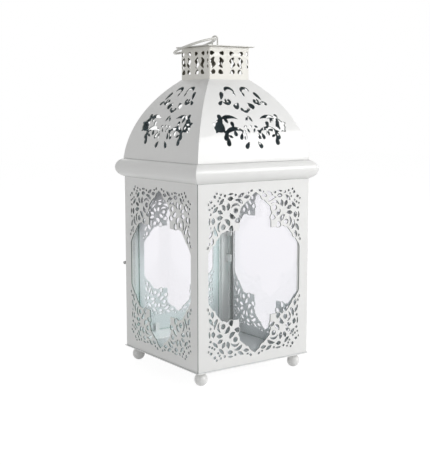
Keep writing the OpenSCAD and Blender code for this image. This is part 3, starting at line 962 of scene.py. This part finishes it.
@dataclass
class DomePanel(SubAssembly):
    """One curved, pierced panel of the roof.

    Places and sizes of the cuts are shares of the panel's length along its curve, from the
    middle of its foot. The bead has a height and a radius.
    """

    node: str
    side: Side
    radius: float = 105.0
    lean: float = 6.3
    step: float = 0.3
    sheet: float = 0.8
    rounding: float = 0.14
    crease: float = 40.0
    rows: int = 34
    leaves: Marks = (
        (0.06, 0.772, 0.064, 0.026, 92), (0.21, 0.684, 0.058, 0.026, 100), (0.023, 0.466, 0.08, 0.028, -60),
        (0.296, 0.45, 0.076, 0.04, 60), (0.452, 0.408, 0.064, 0.036, 15), (0.437, 0.335, 0.06, 0.036, -50),
        (0.35, 0.33, 0.058, 0.034, -130), (0.278, 0.272, 0.062, 0.028, 25),
        (0.07, 0.376, 0.048, 0.026, -20), (0.039, 0.334, 0.052, 0.024, 65),
    )
    eggs: Marks = (
        (0.236, 0.75, 0.118, 0.044, -62), (0.284, 0.658, 0.078, 0.036, 140),
        (0.164, 0.682, 0.05, 0.032, 240), (0.093, 0.622, 0.096, 0.062, 136),
        (0.038, 0.572, 0.05, 0.034, 225), (0.395, 0.392, 0.152, 0.122, 100), (0.362, 0.468, 0.1, 0.05, 255),
        (0.318, 0.216, 0.09, 0.052, 95), (0.332, 0.274, 0.098, 0.052, 125), (0.1, 0.322, 0.052, 0.038, 150),
        (0.212, 0.308, 0.068, 0.042, 80), (0.141, 0.272, 0.074, 0.038, 112),
        (0.227, 0.396, 0.08, 0.042, -95), (0.087, 0.27, 0.071, 0.033, 110),
        (0.082, 0.177, 0.084, 0.044, 127),
    )
    curls: Marks = (
        (0.105, 0.811, 0.052, 0.042, 0, 215, 0.8), (0.202, 0.712, 0.065, 0.036, 205, 325, 1),
        (0.25, 0.268, 0.222, 0.044, 62, 120, 0.7), (0.207, 0.171, 0.185, 0.048, 35, 132, 0.8),
    )
    smile: Mark = (0, 0.604, 0.054, 0.032, 212, 328, 1)
    bead: Point = (0.378, 0.016)

    def __post_init__(self) -> None:
        """Works out the panel's curve from the cornice and the collar."""
        _, cornice_high = box_mm("cornice")
        front_low, _ = box_mm("front_lattice")
        _, collar_high = box_mm("collar")
        self.lean_angle = math.radians(self.lean)
        half = -front_low.y + self.step
        self.mid = (half - self.radius * math.cos(self.lean_angle),
                    cornice_high.z - self.radius * math.sin(self.lean_angle))
        top = math.acos((collar_high.x - self.mid[0]) / self.radius)
        self.length = self.radius * (top - self.lean_angle)

    def half_width(self, s: float, out: float = 0.0) -> float:
        """Half the panel's width, as far along its curve as s and as far out of its outer face as out."""
        return self.mid[0] + (self.radius + out) * math.cos(self.lean_angle + s / self.radius)

    def outline(self) -> Outline:
        """Draws the panel, rolled out flat.

        Returns:
            The panel's outline.
        """
        heights = [self.length * i / self.rows for i in range(self.rows + 1)]
        right = [(self.half_width(s), s) for s in heights]
        return right + [(-x, s) for x, s in reversed(right)]

    def cuts(self) -> list[Outline]:
        """Draws the piercings of the rolled-out panel.

        Returns:
            Their outlines.
        """
        unit = self.length
        made = [drawn(leaf, unit, mark) for mark in self.leaves]
        made += [drawn(egg, unit, mark) for mark in self.eggs]
        made += [drawn_curl(unit, mark) for mark in self.curls]
        made += [flipped(outline, Flip.X) for outline in made]
        height, radius = self.bead
        return made + [drawn_curl(unit, self.smile), moved(disc(unit * radius), 0, unit * height)]

    def rolled(self, point: Vector) -> Vector:
        """Takes a point of the flat panel to its place on the roof's front.

        Args:
            point: X sideways, Y along the curve and Z out of the panel's middle plane.

        Returns:
            The place, in millimetres.
        """
        out = point.z - self.sheet / 2
        angle = self.lean_angle + point.y / self.radius
        squeeze = self.half_width(point.y, out) / self.half_width(point.y)
        reach = self.radius + out
        return Vector((point.x * squeeze, -(self.mid[0] + reach * math.cos(angle)),
                       self.mid[1] + reach * math.sin(angle)))

    def build(self) -> list[bpy.types.Object]:
        """Makes the panel: pierced flat, cut into rows and rolled.

        Returns:
            The piece, in a list.
        """
        parts = [(Part.SHEET, self.outline())] + [(Part.CUT, cut) for cut in self.cuts()]
        piece = flat_sheet(f"{self.node}_sheet", metal_outlines(parts), self.sheet, self.rounding)
        # The panel's back takes the painted shade under the roof, and its cut edges the painted shade of the
        # cuts.
        paint_sheet(piece, self.finishes.white, self.finishes.painted_shade_lining, self.finishes.painted_shade_cut_edge)
        cut_across(piece, [(0, self.length * row / self.rows, 0) for row in range(1, self.rows)], (0, 1, 0))
        for vertex in piece.data.vertices:
            vertex.co = self.rolled(vertex.co)
        place_mesh(piece, Matrix.Scale(MM, 4) @ self.side.turn())
        smooth(piece, self.crease)
        stand_for(piece, self.node)
        return [piece]


@dataclass
class Collar(SubAssembly):
    """The pierced square sleeve, folded from one strip.

    Each face has two tulips, each a waving slot and two wedges and their mirror images, and a
    strip of leaves. Places and sizes of the cuts are shares of the collar's width.
    """

    sheet: float = 0.8
    rounding: float = 0.14
    bend: float = 1.2
    bend_steps: int = 5
    crease: float = 40.0
    pitch: float = 0.48
    shift: float = -0.07
    slot: Mark = (0.099, 0.33, 0.228, 0.11, 0.024)
    wedges: Marks = ((0.115, 0.515, 0.112, 0.078, 175), (0.1, 0.142, 0.128, 0.086, -25))
    strip_end: Marks = (
        (0.444, 0.515, 0.1, 0.056, 90), (0.45, 0.36, 0.098, 0.044, 90), (0.45, 0.255, 0.07, 0.048, 90),
    )

    def face_cuts(self, width: float, foot: float) -> list[Outline]:
        """Draws the piercings of one face, about the face's middle.

        Args:
            width: The collar's width.
            foot: The height of the pattern's foot above the collar's.

        Returns:
            The outlines.
        """
        x, y, length, thick, swing = (width * share for share in self.slot)
        petals = [moved(wave(length, thick, swing), x, y)] + [drawn(egg, width, mark) for mark in self.wedges]
        made: list[Outline] = []
        for tulip in (-1, 1):
            middle = width * (tulip * self.pitch / 2 + self.shift)
            for petal in petals:
                made += [moved(petal, middle, foot), moved(flipped(petal, Flip.X), middle, foot)]
        return made + [moved(drawn(leaf, width, mark), 0, foot) for mark in self.strip_end]

    def build(self) -> list[bpy.types.Object]:
        """Makes the collar: pierced flat, cut across at the bends and folded.

        Returns:
            The piece, in a list.
        """
        low, high = box_mm("collar")
        width = high.x - low.x
        height = high.z - low.z
        _, dome_high = box_mm("dome_front")
        flat = width - 2 * self.bend
        arc = math.pi / 2 * self.bend
        pace = flat + arc
        girth = 4 * pace
        parts = [(Part.SHEET, [(0, 0), (girth, 0), (girth, height), (0, height)])]
        parts += [(Part.CUT, moved(cut, pace * (face + 0.5), 0)) for face in range(4)
                  for cut in self.face_cuts(width, dome_high.z - low.z)]
        piece = flat_sheet("collar_sheet", metal_outlines(parts), self.sheet, self.rounding)
        # The collar's inside and cut edges take the painted shade inside the collar.
        paint_sheet(piece, self.finishes.cream, self.finishes.collar_painted_shade, self.finishes.collar_painted_shade)
        cut_across(piece, [((pace * face + pace / 2 + flat / 2 + arc * step / self.bend_steps) % girth, 0, 0)
                           for face in range(4) for step in range(self.bend_steps + 1)], (1, 0, 0))
        for vertex in piece.data.vertices:
            vertex.co = self._folded(vertex.co, flat, pace, low.z)
        place_mesh(piece, Matrix.Scale(MM, 4))
        smooth(piece, self.crease)
        stand_for(piece, "collar")
        return [piece]

    def _folded(self, point: Vector, flat: float, pace: float, foot: float) -> Vector:
        """Takes a point of the flat strip to its place on the folded collar.

        Args:
            point: X along the strip, Y up and Z out of its middle plane.
            flat: The width of a face between its bends.
            pace: The length of strip that a face and a bend take.
            foot: The height of the collar's foot.

        Returns:
            The place, in millimetres.
        """
        face, along = divmod(point.x, pace)
        along -= pace / 2
        x = max(-flat / 2, min(flat / 2, along))
        turn = (along - x) / self.bend
        reach = self.bend + (point.z - self.sheet / 2)
        spot = Vector((x + reach * math.sin(turn), -(flat / 2 + reach * math.cos(turn)), point.y + foot))
        return Matrix.Rotation(math.pi / 2 * face, 3, "Z") @ spot


@dataclass
class Cornice(SubAssembly):
    """The hollow half-round moulding with mitred corners."""

    sheet: float = 1.0
    lip: float = 3.0
    steps: int = 22
    rounding: float = 0.25
    round_from: float = 30.0
    crease: float = 40.0

    def _bow(self, middle: Point, radius: float, rise: float) -> Outline:
        """Draws one face of the moulding's bulge.

        Args:
            middle: The middle of its arc.
            radius: The arc's radius.
            rise: How far it goes up and down from its middle.

        Returns:
            The arc's points, from the lowest to the highest.
        """
        reach = math.asin(rise / radius)
        angles = (-reach + 2 * reach * i / self.steps for i in range(self.steps + 1))
        return [(middle[0] + radius * math.cos(a), middle[1] + radius * math.sin(a)) for a in angles]

    def build(self) -> list[bpy.types.Object]:
        """Makes the moulding: a profile spun in four steps, so that its corners are mitred.

        Returns:
            The piece, in a list.
        """
        low, high = box_mm("cornice")
        front_low, _ = box_mm("front_lattice")
        half = -front_low.y
        rise = (high.z - low.z) / 2
        bulge = high.x - half
        radius = (rise * rise + bulge * bulge) / (2 * bulge)
        middle = (half + bulge - radius, low.z + rise)
        outer = self._bow(middle, radius, rise)
        inner = self._bow(middle, radius - self.sheet, rise - self.sheet)
        lip = half - self.lip
        profile = [(lip, low.z), *outer, (lip, high.z), (lip, high.z - self.sheet), *reversed(inner),
                   (lip, low.z + self.sheet)]
        piece = spun("cornice_moulding", [(r * math.sqrt(2), z) for r, z in profile], steps=4)
        place_mesh(piece, Matrix.Rotation(math.pi / 4, 4, "Z"))
        bevel_edges(piece, self.rounding * MM, degrees=self.round_from)
        smooth(piece, self.crease)
        paint(piece, self.finishes.white)
        stand_for(piece, "cornice")
        return [piece]


@dataclass
class FlatPlate(SubAssembly):
    """A flat square sheet with soft edges: the floor sheet or the top plate."""

    node: str
    hole_places: tuple[Point, ...]
    hole_radius: float
    face: bpy.types.Material
    back: bpy.types.Material
    edge: bpy.types.Material
    corner: float = 0.6
    rounding: float = 0.25
    crease: float = 50.0

    def build(self) -> list[bpy.types.Object]:
        """Makes the plate.

        Returns:
            The piece, in a list.
        """
        low, high = box_mm(self.node)
        size = high - low
        outlines = [rounded_box(size.x, size.y, self.corner)]
        outlines += [moved(disc(self.hole_radius), x, y) for x, y in self.hole_places]
        piece = flat_sheet(f"{self.node}_sheet", outlines, size.z, self.rounding)
        paint_sheet(piece, self.face, self.back, self.edge)
        place_mesh(piece, Matrix.Scale(MM, 4) @ Matrix.Translation((0, 0, (low.z + high.z) / 2)))
        smooth(piece, self.crease)
        stand_for(piece, self.node)
        return [piece]


@dataclass
class Feet(SubAssembly):
    """Four ball feet on short necks.

    The waist's points are so far out of the neck and so far above the ball.
    """

    names: tuple[str, ...] = ("foot_front_left", "foot_front_right", "foot_back_left", "foot_back_right")
    screw_hole: float = 1.56
    neck: float = 3.0
    flat: float = 2.0
    flat_share: float = 0.92
    throat: float = 0.10
    waist: tuple[Point, ...] = ((0.25, 0.28), (0.0, 0.62))
    steps: int = 20
    round_steps: int = 48
    crease: float = 45.0

    def places(self) -> tuple[Point, ...]:
        """The middles of the feet, where their screws are too."""
        boxes = [box_mm(name) for name in self.names]
        return tuple(((low.x + high.x) / 2, (low.y + high.y) / 2) for low, high in boxes)

    def profile(self, height: float, radius: float) -> Outline:
        """Draws the profile of a foot.

        Args:
            height: The foot's height.
            radius: The ball's radius.

        Returns:
            The profile from the middle of its flat to the middle of its top.
        """
        middle = math.sqrt(radius ** 2 - self.flat ** 2)
        start = -math.acos(self.flat / radius)
        end = math.acos(self.neck / radius) - self.throat
        angles = [start + (end - start) * i / self.steps for i in range(self.steps + 1)]
        ball = [(radius * math.cos(a), middle + radius * math.sin(a)) for a in angles]
        waist = [(self.neck + out, ball[-1][1] + up) for out, up in self.waist]
        return [(0, 0), (self.flat * self.flat_share, 0), *ball, *waist, (self.neck, height), (0, height)]

    def build(self) -> list[bpy.types.Object]:
        """Makes the feet.

        Returns:
            The pieces.
        """
        made = []
        for name, (x, y) in zip(self.names, self.places()):
            low, high = box_mm(name)
            profile = self.profile(high.z, (high.x - low.x) / 2)
            piece = spun(f"{name}_ball", profile, self.round_steps, closed=False)
            place_mesh(piece, Matrix.Translation(Vector((x, y, 0)) * MM))
            smooth(piece, self.crease)
            paint(piece, self.finishes.white)
            stand_for(piece, name)
            made.append(piece)
        return made


@dataclass
class Panes(SubAssembly):
    """The four glass panes with their ground edges."""

    bodies: tuple[tuple[str, Body], ...] = (
        ("front_glass", Body.BODY), ("left_glass", Body.BODY), ("right_glass", Body.BODY),
        ("door_glass", Body.DOOR))
    arris: float = 0.2
    face_on: float = 0.9

    def build(self) -> list[bpy.types.Object]:
        """Makes the panes.

        Returns:
            The pieces.
        """
        made = []
        for name, body in self.bodies:
            low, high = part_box(name)
            size = high - low
            deselect()
            bpy.ops.mesh.primitive_cube_add(size=1)
            piece = bpy.context.object
            piece.name = piece.data.name = f"{name}_pane"
            place_mesh(piece, Matrix.Translation((low + high) / 2) @ Matrix.Diagonal((*size, 1)))
            bevel_edges(piece, self.arris * MM, segments=1)
            paint(piece, self.finishes.pane, self.finishes.pane_edge)
            thin = min(range(3), key=lambda axis: size[axis])
            for polygon in piece.data.polygons:
                polygon.material_index = 0 if abs(polygon.normal[thin]) > self.face_on else 1
            stand_for(piece, name, body)
            made.append(piece)
        return made


@dataclass
class Handle(SubAssembly):
    """The wire staple and the ring that hangs in it."""

    staple_wire: float = 1.5
    staple_hole: float = 0.81
    ring_wire: float = 2.2
    ring_d: float = 38.8
    droop: float = 18.5
    heading: float = 135.0
    weld_length: float = 0.11
    weld_swell: float = 0.035
    weld_under_share: float = 0.6
    rivet_head: float = 1.6
    rivet_crown: float = 0.75
    head_shares: Point = (0.8, 0.2)
    ring_steps: tuple[int, int] = (120, 20)
    staple_steps: tuple[int, int] = (24, 20)
    ring_crease: float = 60.0
    staple_crease: float = 50.0

    def __post_init__(self) -> None:
        """Finds the pivot from the joint, and which way the handle lies."""
        joint = next(j for j in frame["joints"] if j["name"] == "ring_swing")
        self.pivot = Vector(joint["pos_m"]) / MM
        self.stand = Matrix.Translation(self.pivot * MM) @ Matrix.Rotation(math.radians(self.heading), 4, "Z")
        self.arch = box_mm("handle_staple")[1].z - self.pivot.z - self.staple_wire / 2

    def staple_holes(self) -> tuple[Point, Point]:
        """The places of the staple's holes in the top plate."""
        reach = self.arch / math.sqrt(2)
        return (-reach, reach), (reach, -reach)

    def build(self) -> list[bpy.types.Object]:
        """Makes the ring and the staple."""
        return [self._ring(), self._staple()]

    def _ring(self) -> bpy.types.Object:
        """Makes the ring, with the small swelling of its butt weld.

        Returns:
            The ring.
        """
        deselect()
        major = self.ring_d / 2 * MM
        bpy.ops.mesh.primitive_torus_add(major_radius=major, minor_radius=self.ring_wire / 2 * MM,
                                         major_segments=self.ring_steps[0], minor_segments=self.ring_steps[1])
        piece = bpy.context.object
        piece.name = "ring_handle_wire"
        for vertex in piece.data.vertices:
            angle = math.atan2(vertex.co.y, vertex.co.x)
            side = self.weld_under_share if vertex.co.z < 0 else 1.0
            swell = math.exp(-(angle / self.weld_length) ** 2) * self.weld_swell * side
            core = Vector((math.cos(angle), math.sin(angle), 0)) * major
            vertex.co = core + (vertex.co - core) * (1 + swell)
        place_mesh(piece, self.stand @ Matrix.Rotation(math.radians(self.droop), 4, "Y")
                   @ Matrix.Translation((major, 0, 0)))
        smooth(piece, self.ring_crease)
        # The ring takes the greyer wire enamel of painted shade.
        paint(piece, self.finishes.wire)
        stand_for(piece, "ring_handle", Body.RING)
        return piece

    def _staple(self) -> bpy.types.Object:
        """Makes the staple: a wire circle spun over the top, drawn down to legs and riveted over.

        Returns:
            The staple.
        """
        low, _ = box_mm("handle_staple")
        leg = self.pivot.z - low.z - self.staple_wire / 2
        deselect()
        bpy.ops.mesh.primitive_circle_add(vertices=self.staple_steps[1], radius=self.staple_wire / 2 * MM,
                                          fill_type="NOTHING", location=(self.arch * MM, 0, 0))
        piece = bpy.context.object
        piece.name = "handle_staple_wire"
        bpy.ops.object.transform_apply(location=True)
        bpy.ops.object.mode_set(mode="EDIT")
        bpy.ops.mesh.select_all(action="SELECT")
        bpy.ops.mesh.spin(steps=self.staple_steps[0], angle=math.pi, center=(0, 0, 0), axis=(0, 1, 0))
        bpy.ops.object.mode_set(mode="OBJECT")
        for end in (1, -1):
            self._leg(piece, end * self.arch * MM, leg * MM)
        tidy_mesh(piece)
        place_mesh(piece, self.stand)
        smooth(piece, self.staple_crease)
        # The staple takes the greyer wire enamel of painted shade.
        paint(piece, self.finishes.wire)
        stand_for(piece, "handle_staple")
        return piece

    def _leg(self, piece: bpy.types.Object, x: float, length: float) -> None:
        """Draws one open end of the wire down to a leg and spreads its riveted head.

        Args:
            piece: The staple.
            x: How far the end's middle is along X.
            length: The leg's length, in metres.
        """
        activate(piece)
        near = [v.index for v in piece.data.vertices
                if abs(v.co.z) < NEAR and abs(v.co.x - x) < self.staple_wire * MM]
        for v in piece.data.vertices:
            v.select = v.index in near
        for edge in piece.data.edges:
            edge.select = all(i in near for i in edge.vertices)
        for polygon in piece.data.polygons:
            polygon.select = False
        bpy.ops.object.mode_set(mode="EDIT")
        bpy.ops.mesh.select_mode(type="EDGE")
        head, crown = (self.staple_wire / 2 * MM * share for share in self.head_shares)
        down = 0.0
        for drop, grow in ((length, 1.0), (0.0, self.rivet_head), (head, 1.0), (crown, self.rivet_crown)):
            bpy.ops.mesh.extrude_edges_move(TRANSFORM_OT_translate={"value": (0, 0, -drop)})
            down += drop
            if grow != 1.0:
                bpy.ops.transform.resize(value=(grow, grow, 1), center_override=(x, 0, -down))
        bpy.ops.mesh.edge_face_add()
        bpy.ops.object.mode_set(mode="OBJECT")


@dataclass
class SmallParts(SubAssembly):
    """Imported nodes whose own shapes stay: posts, clips, hinges, screws and the latch."""

    painted: tuple[str, ...] = (
        "post_front_left", "post_front_right", "post_back_left", "post_back_right", "door_glass_clips",
        "upper_hinge_fixed_leaf", "lower_hinge_fixed_leaf", "upper_hinge_door_leaf", "lower_hinge_door_leaf",
        "latch_button")
    plated: tuple[str, ...] = ("foot_screws", "upper_hinge_pin", "lower_hinge_pin", "latch_rivet")

    def build(self) -> list[bpy.types.Object]:
        """Gives the nodes their finishes.

        Returns:
            The nodes.
        """
        for names, material in ((self.painted, self.finishes.white), (self.plated, self.finishes.steel)):
            for name in names:
                paint(frame["nodes"][name], material)
        return [frame["nodes"][name] for name in self.painted + self.plated]


@dataclass(frozen=True)
class Lamp:
    """A soft oblong lamp that points at the lantern's middle."""

    name: str
    place: tuple[float, float, float]
    size: Point
    power: float
    aim_height: float = 0.14

    def build(self) -> None:
        """Adds the lamp."""
        data = bpy.data.lights.new(self.name, "AREA")
        data.shape = "RECTANGLE"
        data.size, data.size_y = self.size
        data.energy = self.power
        lamp = bpy.data.objects.new(self.name, data)
        lamp.location = self.place
        aim = Vector((0, 0, self.aim_height)) - Vector(self.place)
        lamp.rotation_euler = aim.to_track_quat("-Z", "Y").to_euler()
        bpy.context.scene.collection.objects.link(lamp)


@dataclass
class Studio:
    """Pale floor, soft light, white surroundings and the camera of the photograph."""

    camera_at: tuple[float, float, float] = (-0.4838, -0.6766, 0.2361)
    camera_tilt: float = 7.81
    camera_turn: float = 35.57
    lens: float = 71.1
    sensor: float = 36.0
    floor_size: float = 6.0
    floor_z: float = -0.0002
    floor_lit: float = 0.95
    floor_glow: float = 0.91
    shadow_share: float = 0.22
    ambient: float = 0.385
    backdrop: float = 1.0
    lamps: tuple[Lamp, ...] = (
        Lamp("key", (0.86, -1.20, 0.665), (1.1, 0.60), 11.9),
        Lamp("top", (0.50, -1.00, 1.50), (1.2, 1.2), 2.6),
        Lamp("fill", (-1.40, -0.10, 0.30), (0.8, 0.8), 1.8),
        Lamp("back", (0.60, 1.50, 0.60), (1.0, 1.0), 3.5),
    )

    def build(self) -> None:
        """Sets up the camera, the floor and the light."""
        self._camera()
        self._floor()
        self._world()
        for lamp in self.lamps:
            lamp.build()
        bpy.context.scene.view_settings.view_transform = "Standard"

    def _camera(self) -> None:
        """Adds the camera."""
        data = bpy.data.cameras.new("camera")
        data.lens = self.lens
        data.sensor_width = self.sensor
        camera = bpy.data.objects.new("camera", data)
        camera.location = self.camera_at
        camera.rotation_euler = (math.radians(90 - self.camera_tilt), 0, math.radians(-self.camera_turn))
        bpy.context.scene.collection.objects.link(camera)
        bpy.context.scene.camera = camera

    def _floor(self) -> None:
        """Adds the floor: white where it is seen, apart from the lantern's own soft shadow."""
        deselect()
        bpy.ops.mesh.primitive_plane_add(size=self.floor_size, location=(0, 0, self.floor_z))
        floor = bpy.context.object
        floor.name = "studio_floor"
        recipe = Recipe(bpy.data.materials.new("pale_floor"))
        lit, faint = (recipe.node("ShaderNodeBsdfDiffuse", {}, {"Color": (grey, grey, grey, 1)})
                      for grey in (self.floor_lit, self.shadow_share))
        glow = recipe.node("ShaderNodeEmission", {}, {"Color": WHITE, "Strength": self.floor_glow})
        cloth = recipe.node("ShaderNodeAddShader", {}, {0: faint, 1: glow})
        both = recipe.node("ShaderNodeMixShader", {}, {0: recipe.seen(), 1: lit, 2: cloth})
        paint(floor, recipe.finish(both))

    def _world(self) -> None:
        """Sets the surroundings: white where they are seen, and softer as light."""
        recipe = Recipe(bpy.data.worlds.new("studio"))
        soft, white = (recipe.node("ShaderNodeBackground", {}, {"Color": WHITE, "Strength": strength})
                       for strength in (self.ambient, self.backdrop))
        bpy.context.scene.world = recipe.finish(
            recipe.node("ShaderNodeMixShader", {}, {0: recipe.seen(), 1: soft, 2: white}))


def main() -> None:
    """Builds the lantern's sub-assemblies in order and reports each piece."""
    logging.basicConfig(level=logging.INFO, format="%(name)s: %(message)s")
    finishes = Finishes()
    feet = Feet(finishes)
    handle = Handle(finishes)
    assemblies: tuple[SubAssembly, ...] = (
        LaceWall(finishes, "front_lattice", Side.FRONT),
        LaceWall(finishes, "left_lattice", Side.LEFT),
        LaceWall(finishes, "right_lattice", Side.RIGHT),
        LaceWall(finishes, "door_lattice", Side.BACK, Body.DOOR, pattern="front_lattice", share=0.78),
        DomePanel(finishes, "dome_front", Side.FRONT),
        DomePanel(finishes, "dome_left", Side.LEFT),
        DomePanel(finishes, "dome_right", Side.RIGHT),
        DomePanel(finishes, "dome_back", Side.BACK),
        Cornice(finishes),
        Collar(finishes),
        # The base plate's top face takes the painted shade of the lantern's floor.
        FlatPlate(finishes, "base_plate", feet.places(), feet.screw_hole,
                  finishes.floor, finishes.white, finishes.white),
        # The top plate's underside takes the painted shade inside the collar, and its edges the greyer wire
        # enamel of painted shade.
        FlatPlate(finishes, "top_plate", handle.staple_holes(), handle.staple_hole,
                  finishes.white, finishes.collar_painted_shade, finishes.wire),
        feet,
        Panes(finishes),
        handle,
        SmallParts(finishes),
    )
    for assembly in assemblies:
        for piece in assembly.build():
            log.info("made %s", piece.name)
    Studio().build()
    log.info("set up the studio")
    deselect()


if __name__ == "__main__":
    main()
